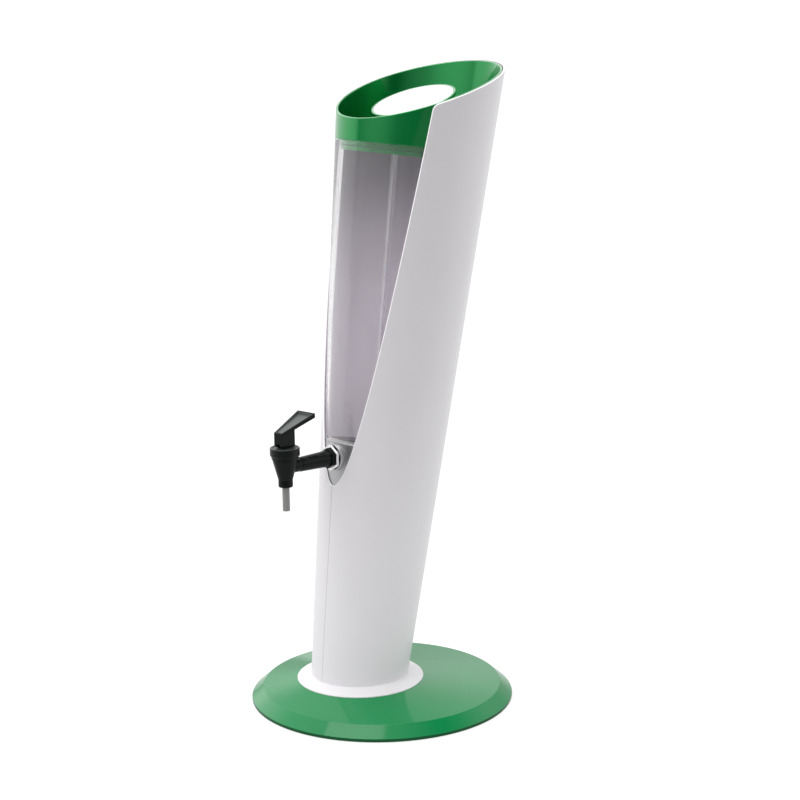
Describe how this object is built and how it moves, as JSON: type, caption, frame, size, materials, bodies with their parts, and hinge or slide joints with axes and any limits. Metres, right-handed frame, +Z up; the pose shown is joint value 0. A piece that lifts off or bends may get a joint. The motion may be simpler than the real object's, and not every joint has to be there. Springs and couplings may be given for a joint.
{
  "type": "beer tower dispenser",
  "caption": "Leaning conical drink tower on a round weighted base, with an open-fronted casing, clear canister, slanted lid, ice tube and a lever tap.",
  "frame": {"origin": "centre of the round base's underside, on the surface it stands on", "axes": "+Z up; -Y is the front, where the tap is; the tower leans back towards +Y; the mid-plane is x = 0"},
  "size_m": [0.26, 0.2734, 0.6224],
  "materials": {
    "green_plastic": "gloss",
    "ballast_iron": "rough",
    "dark_plastic": "satin",
    "base_rubber": "matt",
    "screw_steel": "satin",
    "white_plastic": "satin",
    "casing_plastic": "satin",
    "clear_plastic": "clear gloss",
    "silicone": "matt",
    "chrome_plate": "mirror",
    "green_silicone": "matt",
    "black_rubber": "matt",
    "tap_plastic": "satin",
    "outlet_silicone": "satin",
    "disc_plastic": "satin"
  },
  "bodies": {
    "stand": {"base_cover": "green_plastic", "base_ballast": "ballast_iron", "base_plate": "dark_plastic", "base_pad": "base_rubber", "base_screws": "screw_steel", "foot_ring": "white_plastic", "casing_right": "casing_plastic", "casing_left": "casing_plastic", "tower_screws": "screw_steel", "canister_shelf": "white_plastic", "shelf_cushion": "base_rubber"},
    "canister": {"canister_tube": "clear_plastic", "tube_gasket": "silicone", "canister_cup": "chrome_plate", "tap_outer_gasket": "black_rubber", "chrome_nut": "chrome_plate", "tap_body": "tap_plastic", "tap_inner_gasket": "silicone", "tap_back_nut": "tap_plastic", "tap_bonnet": "tap_plastic", "outlet_tube": "outlet_silicone"},
    "swivel": {"cam_washer": "dark_plastic"},
    "stem": {"valve_stem": "dark_plastic", "seat_cup": "silicone", "valve_spring": "screw_steel"},
    "lever": {"tap_lever": "tap_plastic", "lever_pin": "tap_plastic"},
    "lid": {"lid_collar": "green_plastic", "lid_seal": "green_silicone"},
    "ice": {"ice_tube": "clear_plastic"},
    "knob": {"ice_cap": "green_plastic", "cap_disc": "disc_plastic", "ice_tube_seal": "silicone"}
  },
  "joints": [
    {"name": "canister_lift", "type": "slide", "parent": "stand", "child": "canister", "axis": [0, 0.1492, 0.9888], "range_m": [0, 0.43]},
    {"name": "lever_swivel", "type": "hinge", "parent": "canister", "child": "swivel", "pos_m": [0, -0.1134, 0.2737], "axis": [0, 0, 1], "continuous": true},
    {"name": "stem_lift", "type": "slide", "parent": "swivel", "child": "stem", "axis": [0, 0, 1], "range_m": [0, 0.00419], "stiffness_N_per_m": 500, "springref_m": -0.01, "deforming": ["valve_spring"]},
    {"name": "lever_turn", "type": "hinge", "parent": "stem", "child": "lever", "pos_m": [0, -0.1134, 0.2793], "axis": [0.9848, 0.1736, 0], "range_deg": [0, 60]},
    {"name": "lid_lift", "type": "slide", "parent": "canister", "child": "lid", "axis": [0, 0.1492, 0.9888], "range_m": [0, 0.26]},
    {"name": "ice_tube_lift", "type": "slide", "parent": "lid", "child": "ice", "axis": [0, 0.1492, 0.9888], "range_m": [0, 0.28]},
    {"name": "knob_lift", "type": "slide", "parent": "ice", "child": "knob", "axis": [0, 0.1492, 0.9888], "range_m": [0, 0.1]}
  ],
  "couplings": [
    {"joint": "lever_turn", "follows": "stem_lift", "rad_per_m": 250}
  ]
}
